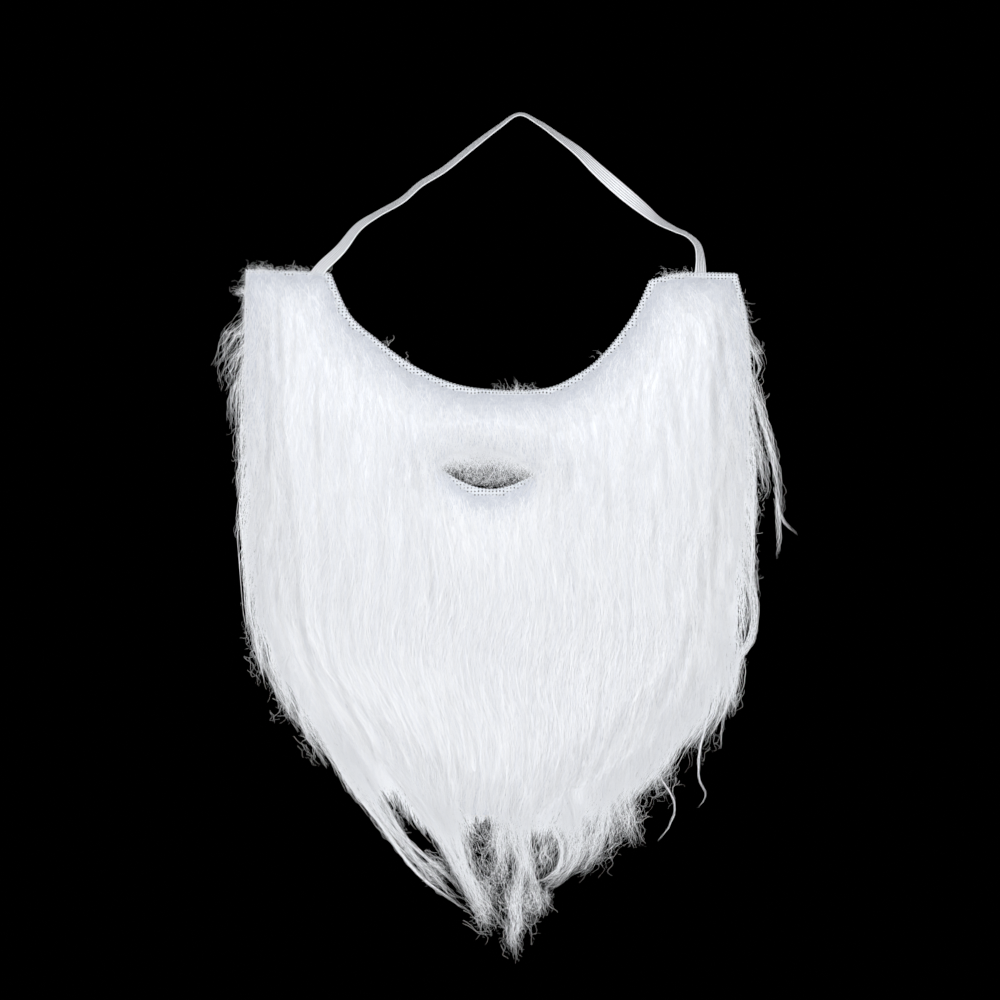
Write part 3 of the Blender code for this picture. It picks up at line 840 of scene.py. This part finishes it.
def make_strap_stitches(material):
    """Make the zigzag bar tacks that sew each end of the elastic to the cloth's back."""
    centres, run, across, out = strap_frame()
    shapes = []
    last = len(centres)
    for rows in (range(3, STRAP_STEPS - 1), range(last - STRAP_STEPS, last - 4)):
        behind = 1 if out[rows[0], 1] > 0 else -1
        path = []
        for row in rows:
            for side in (1, -1):
                middle = centres[row] + run[row] * (0.5 if side < 0 else 0.0)
                lift = out[row] * behind * (STRAP_THICKNESS / 2 + 0.05)
                path.append(middle + across[row] * side * STRAP_WIDTH * STITCH_REACH + lift)
        shapes.append(tube(path, STITCH_RADIUS))
    points, quads = joined(shapes)
    stitches = mesh_object("elastic_strap_stitches", points, quads, [material])
    return dress(stitches, "elastic_strap")


# Hair

def make_undercoat(chance, pile, materials):
    """Make the dense underhair as a soft relief that thins out to the cloth's edge."""
    pitch = UNDERHAIR_PITCH
    low = OUTLINE[:, :2].min(axis=0) - pitch
    high = OUTLINE[:, :2].max(axis=0) + pitch
    xs = np.arange(low[0], high[0], pitch)
    zs = np.arange(low[1], high[1], pitch)
    nodes = np.stack(np.meshgrid(xs, zs, indexing="ij"), axis=2)
    room = pile.room.at(nodes[..., 0], nodes[..., 1])
    good = room > -pitch / 2
    kept = good[:-1, :-1] & good[1:, :-1] & good[1:, 1:] & good[:-1, 1:]
    used, cells = grid_cells(kept)
    slopes = [field.at(nodes[..., 0], nodes[..., 1]) for field in pile.room.slopes()]
    slope = np.stack(slopes, axis=2)
    step = room[..., None] * slope / np.maximum((slope ** 2).sum(2, keepdims=True), 0.3)
    nodes = np.where(room[..., None] < pitch / 2, nodes - step, nodes)
    x, z = nodes[used > 0].T
    points = np.stack([x, pile.front.at(x, z), z], axis=1)
    depth = room[:-1, :-1][kept] + chance.normal(0, 1.2, len(cells))
    # Each cell takes a step of painted shade by its depth inside the pile's edge, so the darkest
    # steps lie near the edge.
    level = np.clip(depth / FULL_PILE * len(materials), 0, len(materials) - 1).astype(int)
    undercoat = mesh_object("hair_undercoat", points, cells, materials, level)
    return dress(undercoat, "hair")


def scatter_roots(chance, pile, count, inset):
    """Scatter fibre roots evenly over the pile."""
    low, high = OUTLINE[:, :2].min(axis=0), OUTLINE[:, :2].max(axis=0)
    roots = np.empty((0, 2))
    while len(roots) < count:
        tries = chance.uniform(low, high, (count, 2))
        roots = np.concatenate([roots, tries[pile.room.at(*tries.T) > inset]])
    return roots[:count]


def clump_fibres(chance, roots, spacing):
    """Give each fibre the middle of a tuft near its root. Tufts are long along z."""
    low, high = roots.min(axis=0), roots.max(axis=0)
    count = int((high[0] - low[0]) * (high[1] - low[1]) / spacing ** 2)
    centres = chance.uniform(low, high, (count, 2))
    tree = KDTree(count)
    for index, (x, z) in enumerate(centres):
        tree.insert((x, 0, z * TUFT_STRETCH), index)
    tree.balance()
    number = np.array([tree.find((x, 0, z * TUFT_STRETCH))[1] for x, z in roots])
    return centres, number


def coat_lengths(chance, roots):
    """Return each fibre's length: short at the top, cut over the mouth and at the foot."""
    x, z = roots.T
    face, _ = nearest_on(roots, FACE_EDGE, closed=False)
    long = np.clip((face - 4) / 60, 0, 1)
    low = np.clip((-z - 120) / 100, 0, 1)
    length = COAT_LENGTH + COAT_GROWTH * long + COAT_FOOT_GROWTH * low
    length = length * chance.uniform(0.6, 1.4, len(roots))
    foot = np.array(COAT_FOOT, float)
    for _ in range(3):
        tip_x = hair_place(hair_across(x, z), z - length)
        reach = np.interp(tip_x, foot[:, 0], foot[:, 1]) + chance.uniform(-5, 9, len(roots))
        length = np.minimum(length, np.maximum(z - reach, COAT_SHORTEST))
    over = (x > MOUTH_LEFT[0] - 2) & (x < MOUTH_RIGHT[0] + 2) & (z > -176)
    lip = np.interp(x, (MOUTH_LEFT[0], -16, MOUTH_RIGHT[0]), (-174, -170, -178))
    to_lip = z - lip + chance.uniform(-3, 2, len(roots))
    return np.where(over, np.clip(np.minimum(length, to_lip), 3, None), length)


def gathered(chance, roots, x, z, low, share):
    """Draw fibres towards the middle of their tuft, and wave each tuft as one."""
    z0 = roots[:, 1:]
    centres, number = clump_fibres(chance, roots, TUFT_SPACING)
    middle = hair_place(hair_across(centres[number][:, :1], z0), z)
    x = x + (middle - x) * (0.15 + 0.45 * low) * share ** 1.2
    own = chance.uniform(0, math.tau, len(centres))[number][:, None]
    span = chance.uniform(20, 44, len(centres))[number][:, None]
    reach = chance.uniform(0.3, 1.1, len(centres))[number][:, None] * (0.4 + 0.8 * low)
    return x + reach * (np.sin(z * math.tau / span + own) - np.sin(z0 * math.tau / span + own))


def coat_paths(chance, pile, roots, length, points):
    """Return fibre paths from their roots: out of the pile, then down with the flow."""
    column = (len(roots), 1)
    share = np.linspace(0, 1, points)[None]
    x0, z0 = roots[:, :1], roots[:, 1:]
    travel = length[:, None] * share
    z = z0 - travel
    low = np.clip((-z0 - 150) / 150, 0, 1)
    lean = chance.normal(0, 0.26, column) * (1 - 0.7 * low)
    x = hair_place(hair_across(x0, z0), z) + lean * travel
    x = gathered(chance, roots, x, z, low, share)
    bend = Waves(chance, 6, 3.4, (60, 130))
    x = x + (bend.at(z, x * 0.6) - bend.at(z0, x * 0.6)) * np.minimum(1, share * 2)
    phase = chance.uniform(0, math.tau, column)
    pace = chance.uniform(7, 16, column)
    frizz = chance.uniform(0.2, 1.0, column) * (1 - 0.35 * low) * np.minimum(1, travel / 8)
    turn = z * math.tau / pace + phase
    x = x + frizz * np.sin(turn)
    out = np.minimum(chance.exponential(1.3, column), 4)
    x = np.clip(x, side_of_hair(z, 1) - out + 1.5, side_of_hair(z, 2) + out - 1.5)
    full = np.clip(pile.room.at(x0, z0) / 14, 0.25, 1)
    lift = chance.uniform(0.1, 1.0, column) ** 1.5 * 1.5 * full
    rise = (0.8 + lift) * (1 - np.exp(-travel / 3))
    y = pile.front.at(x, z) + 0.8 - rise + 0.4 * frizz * np.cos(turn)
    return np.stack([x, y, z], axis=2)


def ribbons(paths, width, twist, taper=0.7):
    """Return points, quads and own normals of flat fibres, thin towards their tips."""
    count, points = paths.shape[:2]
    run = unit(np.gradient(paths, axis=1))
    flat = unit(np.cross(run, (0.0, 1.0, 0.0)))
    upright = np.cross(flat, run)
    angle = np.clip(twist, -1.3, 1.3)[:, None, None]
    across = flat * np.cos(angle) + upright * np.sin(angle)
    share = np.linspace(0, 1, points)[None, :, None]
    half = width[:, None, None] / 2 * (1 - taper * share ** 2)
    vertices = np.stack([paths - across * half, paths + across * half], axis=2)
    normals = unit(np.cross(run, across))
    first = (np.arange(count) * points * 2)[:, None] + np.arange(points - 1)[None] * 2
    quads = np.stack([first, first + 2, first + 3, first + 1], axis=2)
    return vertices.reshape(-1, 3), quads.reshape(-1, 4), normals


def hair_pieces(name, paths, width, twist, shading, materials, chance, pieces=1):
    """Share fibres out over a few pieces, each fibre in one of the hair finishes.

    The shading directions are mixed with each fibre's own, for the soft look of fur.
    """
    shares = [finish[3] for finish in HAIR_FINISHES]
    for number in range(pieces):
        chosen = slice(number, None, pieces)
        points, quads, own = ribbons(paths[chosen], width[chosen], twist[chosen])
        soft = unit(shading[chosen] + own * OWN_SHADING)
        normals = np.repeat(soft.reshape(-1, 3), 2, axis=0)
        finish = chance.choice(len(materials), len(paths[chosen]), p=shares)
        slots = np.repeat(finish, paths.shape[1] - 1)
        piece = mesh_object(f"{name}_{number + 1}", points, quads, materials, slots, normals)
        dress(piece, "hair")


def make_coat(chance, pile, materials, count):
    """Make the combed coat, with a share of its fibres over the cloth's lower edges."""
    roots = scatter_roots(chance, pile, count, 0.2)
    hem = scatter_roots(chance, pile, count, 0.2)
    hem = hem[(pile.room.at(*hem.T) < HEM_REACH) & (hem[:, 1] < HEM_TOP)]
    roots = np.concatenate([roots, hem, hem + chance.normal(0, 0.6, hem.shape)])
    length = coat_lengths(chance, roots)
    paths = coat_paths(chance, pile, roots, length, COAT_POINTS)
    width = chance.uniform(*COAT_WIDTH, len(roots))
    twist = chance.normal(0, 0.22, len(roots))
    shading = pile.normals(paths[..., 0], paths[..., 2])
    shading = shading + chance.normal(0, 0.06, (len(roots), 1, 3)) * (1, 0, 1)
    mixed = chance.permutation(len(roots))
    parts = [rows[mixed] for rows in (paths, width, twist, shading)]
    hair_pieces("hair_coat", *parts, materials, chance, COAT_PIECES)


def route_places(route, share):
    """Return places and directions at shares of the length of a smooth route."""
    fine = smooth_rows(np.array(route, float), ROUTE_STEPS)
    steps = np.linalg.norm(np.diff(fine, axis=0), axis=1)
    length = np.concatenate([[0], np.cumsum(steps)])
    run = unit(np.gradient(fine, axis=0))
    at = share * length[-1]
    place = [np.interp(at, length, fine[:, k]) for k in range(2)]
    heading = [np.interp(at, length, run[:, k]) for k in range(2)]
    return place, heading, at


def lock_paths(chance, pile, lock, points):
    """Return the fibres of one lock: strands and stray fibres that part, curl and cross."""
    route, root_width, tip_width, count, curl = lock
    column = (count, 1)
    strands = 3 + count // 12
    strand = chance.integers(0, strands, count)
    stray = chance.random(column) < 0.45

    def draw(low, high):
        shared = chance.uniform(low, high, strands)[strand][:, None]
        return np.where(stray, chance.uniform(low, high, column), shared)

    step = np.linspace(0, 1, points)[None]
    start = 0.55 * chance.uniform(0, 1, column) ** (2.2 if curl < 1 else 1.5)
    end = start + (1 - start) * chance.uniform(0.6 if curl < 1 else 0.25, 1, column)
    share = start + (end - start) * step
    (x, z), (run_x, run_z), at = route_places(route, share)
    spread = draw(-1, 1) * draw(0.4, 1) + chance.normal(0, 0.1, column) * (0.4 + share)
    width = root_width + (tip_width - root_width) * share
    offset = spread * width / 2
    for low, high, reach in ((16, 30, 0.8), (8, 14, 0.4)):
        turn = at * math.tau / draw(low, high) + draw(0, math.tau)
        offset = offset + curl * reach * draw(0.2, 1) * share ** 0.7 * np.sin(turn)
    own = at * math.tau / chance.uniform(5, 10, column)
    own = own + chance.uniform(0, math.tau, column)
    frizz = chance.uniform(0.15, 0.6, column) * min(1.0, 0.4 + curl / 3)
    offset = offset + frizz * np.sin(own)
    x, z = x - run_z * offset, z + run_x * offset
    z = z + curl * 0.25 * share * np.cos(turn)
    depth = chance.uniform(0.3, 4.0, column) * (1 - 0.35 * share)
    near = np.clip(pile.room.at(x, z) / 6 + 1, 0, 1)
    surface = pile.front.at(x, z) * near + (cloth_front(x, z) - 3.5) * (1 - near)
    rise = (1.0 + depth) * np.minimum(1, step * 5)
    y = surface + 1.0 - rise + curl * 0.35 * share * np.cos(turn)
    return np.stack([x, y, z], axis=2)


def facing_front(paths):
    """Return shading directions along -Y, tipped a little by each fibre's own place."""
    tilt = (paths[:, :1, 0] * 7.3 + paths[:, :1, 2] * 3.1)
    ahead = np.zeros_like(paths)
    ahead[..., 0] = 0.12 * np.sin(tilt)
    ahead[..., 1] = -1
    ahead[..., 2] = 0.1 * np.cos(tilt * 1.7)
    return ahead


def make_locks(chance, pile, materials):
    """Make the loose locks of the sides and the lacy point."""
    paths = np.concatenate([lock_paths(chance, pile, lock, LOCK_POINTS) for lock in LOCKS])
    paths = paths[chance.permutation(len(paths))]
    width = chance.uniform(*LOCK_WIDTH, len(paths))
    twist = chance.normal(0, 0.6, len(paths))
    hair_pieces("hair_locks", paths, width, twist, facing_front(paths), materials, chance)


def heading_to(angle):
    """Return the x and z of unit runs at a column of angles."""
    return np.concatenate([np.cos(angle), np.sin(angle)], axis=1)


def curled(chance, base, goal, share, curl, fewest=4, most=10):
    """Return x and z of short fibres from base to goal, and the turn of their curls.

    The curls grow outwards, with a number of radians between fewest and most.
    """
    count = (len(base), 1)
    run = goal - base
    side = unit(np.stack([-run[:, 1], run[:, 0]], axis=1))
    phase = chance.uniform(0, math.tau, count)
    turns = chance.uniform(fewest, most, count)
    turn = share * turns + phase
    offset = curl * share * np.sin(turn)
    x = base[:, :1] + run[:, :1] * share + side[:, :1] * offset
    z = base[:, 1:] + run[:, 1:] * share + side[:, 1:] * offset
    return x, z, turn


def side_fuzz(chance, count, points):
    """Return thin fibres that stand off all round the sides of the hair."""
    share = np.linspace(0, 1, points)[None]
    z0 = chance.uniform(-300, -82, (count, 1))
    side = np.where(chance.random((count, 1)) < 0.55, -1, 1)
    across = side * chance.uniform(0.90, 0.985, (count, 1))
    base = np.concatenate([hair_place(across, z0), z0], axis=1)
    drop = chance.uniform(7, 24, (count, 1))
    out = side * np.minimum(chance.exponential(1.3, (count, 1)), 5)
    goal = np.concatenate([hair_place(across, z0 - drop) + out, z0 - drop], axis=1)
    x, z, turn = curled(chance, base, goal, share, 1.4)
    y = cloth_front(x, z) - chance.uniform(0.5, 6, (count, 1)) + 0.8 * np.cos(turn)
    return np.stack([x, y, z], axis=2)


def fleece(chance, pile, count, points):
    """Return the short curly fibres that blur the pile, most of them near its edges."""
    roots = scatter_roots(chance, pile, count * 3, -0.6)
    room = pile.room.at(*roots.T)
    roots = roots[chance.random(len(roots)) < np.where(room < 10, 1, 0.25)][:count]
    share = np.linspace(0, 1, points)[None]
    heading = chance.normal(-math.pi / 2, 0.75, (len(roots), 1))
    reach = chance.uniform(3.5, 11, (len(roots), 1))
    goal = roots + heading_to(heading) * reach
    x, z, turn = curled(chance, roots, goal, share, 1.0)
    lift = chance.uniform(0.3, 1.8, (len(roots), 1))
    y = pile.front.at(x, z) + 0.4 - (0.4 + lift) * np.sqrt(share) + 0.4 * np.cos(turn)
    return np.stack([x, y, z], axis=2)


def mouth_hairs(chance, count, points):
    """Return the thin hairs that cross the mouth from its upper lip and corners."""
    share = np.linspace(0, 1, points)[None]
    (left, left_z), (right, right_z) = MOUTH_LEFT, MOUTH_RIGHT
    x0 = chance.uniform(left - 2, right + 2, (count, 1))
    along = np.clip((x0 - left) / (right - left), 0, 1)
    bulge = np.sin(math.pi * along)
    lip = left_z + (right_z - left_z) * along + MOUTH_HALF_HEIGHT * bulge
    base = np.concatenate([x0, lip + chance.uniform(-0.5, 4, (count, 1))], axis=1)
    heading = -math.pi / 2 - (along - 0.5) * 2.2 + chance.normal(0, 0.75, (count, 1))
    reach = 6 + 14 * bulge * chance.uniform(0.1, 1.25, (count, 1))
    goal = base + heading_to(heading) * reach
    x, z, _ = curled(chance, base, goal, share, 1.9, 6, 14)
    y = cloth_front(x, z) - 1.5 - chance.uniform(0, 2.5, (count, 1)) * share
    return np.stack([x, y, z], axis=2)


def edge_wisps(chance, points):
    """Return the wisps that stand above the cut edges of the cloth."""
    share = np.linspace(0, 1, points)[None]
    wisps = []
    for x0, z0, rise_x, rise_z, spread, fibres in EDGE_WISPS:
        base = np.array([x0, z0]) + chance.normal(0, 0.5, (fibres, 2)) * (spread, 1.2)
        goal = base + np.array([rise_x, rise_z]) * chance.uniform(0.1, 1.1, (fibres, 1))
        goal = goal + chance.normal(0, 1.8, (fibres, 2))
        x, z, _ = curled(chance, base, goal, share, 1.6)
        y = cloth_front(x, z) - 0.8 - 1.5 * share * chance.uniform(-0.2, 1, (fibres, 1))
        wisps.append(np.stack([x, y, z], axis=2))
    return np.concatenate(wisps)


def lace(chance, points):
    """Return the thin curls that cross each other between the locks and at the edges."""
    share = np.linspace(0, 1, points)[None]
    patches = []
    for x0, z0, half_width, half_height, fibres, degrees, half_length in LACE:
        base = np.clip(chance.normal(0, 0.6, (fibres, 2)), -1.2, 1.2)
        base = base * (half_width, half_height) + (x0, z0)
        heading = math.radians(degrees) + chance.normal(0, 0.55, (fibres, 1))
        reach = heading_to(heading) * half_length * chance.uniform(0.5, 1.4, (fibres, 1))
        curl = 0.3 * half_length
        x, z, turn = curled(chance, base - reach, base + reach, share, curl, 6, 13)
        y = cloth_front(x, z) - chance.uniform(1, 6, (fibres, 1)) + 1.2 * np.cos(turn)
        patches.append(np.stack([x, y, z], axis=2))
    return np.concatenate(patches)


def make_fuzz(chance, pile, materials):
    """Make the thin fibres: fleece, side fuzz, mouth hairs, edge wisps and lace."""
    short = np.concatenate([
        fleece(chance, pile, FLEECE_FIBRES, FUZZ_POINTS),
        side_fuzz(chance, SIDE_FIBRES, FUZZ_POINTS),
        edge_wisps(chance, FUZZ_POINTS),
    ])
    long = np.concatenate([
        mouth_hairs(chance, MOUTH_FIBRES, LACE_POINTS),
        lace(chance, LACE_POINTS),
    ])
    for name, paths, widths in (("hair_fuzz", short, FUZZ_WIDTH), ("hair_lace", long, LACE_WIDTH)):
        width = chance.uniform(*widths, len(paths))
        twist = chance.uniform(-1.0, 1.0, len(paths))
        hair_pieces(name, paths, width, twist, facing_front(paths), materials, chance)


# Stage, light and camera

def make_stage():
    """Make a plain pale floor well below the beard."""
    bpy.ops.mesh.primitive_plane_add(size=FLOOR_SIZE, location=(0, 0, FLOOR_HEIGHT))
    floor = bpy.context.object
    floor.name = "floor"
    material, _ = new_material("floor_paint", (0.78, 0.78, 0.78), 0.9, 0.2)
    floor.data.materials.append(material)


def add_area_light(name, place, size, power):
    """Add a round soft lamp that is aimed at the beard."""
    light = bpy.data.lights.new(name, "AREA")
    light.shape = "DISK"
    light.size = size
    light.energy = power
    light.color = LIGHT_COLOUR
    lamp = bpy.data.objects.new(name, light)
    bpy.context.scene.collection.objects.link(lamp)
    lamp.location = place
    aim = Vector(LIGHT_AIM) - Vector(place)
    lamp.rotation_euler = aim.to_track_quat("-Z", "Y").to_euler()
    lamp.visible_camera = False


def make_light():
    """Light the beard softly from the front, with weaker lamps behind it."""
    for lamp in LAMPS:
        add_area_light(*lamp)
    world = bpy.data.worlds.new("dark_studio")
    world.use_nodes = True
    world.node_tree.nodes["Background"].inputs["Color"].default_value = (0, 0, 0, 1)
    bpy.context.scene.world = world
    bpy.context.scene.view_settings.view_transform = "Standard"


def make_camera():
    """Set the camera level in front of the beard, with half a metre across the frame."""
    camera = bpy.data.cameras.new("camera")
    camera.sensor_width = 36.0
    camera.lens = camera.sensor_width * VIEW_DISTANCE / VIEW_WIDTH
    viewer = bpy.data.objects.new("camera", camera)
    bpy.context.scene.collection.objects.link(viewer)
    viewer.location = (VIEW_CENTRE[0], -VIEW_DISTANCE, VIEW_CENTRE[1])
    viewer.rotation_euler = (math.radians(90), 0, 0)
    bpy.context.scene.camera = viewer


def make_cloth():
    yarn = knit_material()
    net = make_net(yarn)
    loops = make_edge_loops(yarn)


def make_elastic():
    """Make the elastic strap and the stitches that hold its ends."""
    ribs = elastic_material("elastic_ribs", (0.9, 0.91, 0.94), (0.96, 0.965, 0.975))
    # The groove finish is the white elastic painted dark, as painted shade in the grooves between
    # the ribs.
    groove_shade = elastic_material("elastic_groove_shade", (0.2, 0.21, 0.24), (0.36, 0.38, 0.42))
    make_strap(ribs, groove_shade)
    make_strap_stitches(ribs)


def make_hair():
    """Make the hair in layers: underhair, coat, loose locks and thin curls."""
    chance = np.random.default_rng(SEED)
    finishes = [hair_material(*finish[:3]) for finish in HAIR_FINISHES]
    pile = Pile(chance)
    make_undercoat(chance, pile, undercoat_materials())
    make_coat(chance, pile, finishes, COAT_FIBRES)
    make_locks(chance, pile, finishes)
    make_fuzz(chance, pile, finishes)


def main():
    """Make everything over the frame."""
    make_cloth()
    make_elastic()
    make_hair()
    make_stage()
    make_light()
    make_camera()


main()
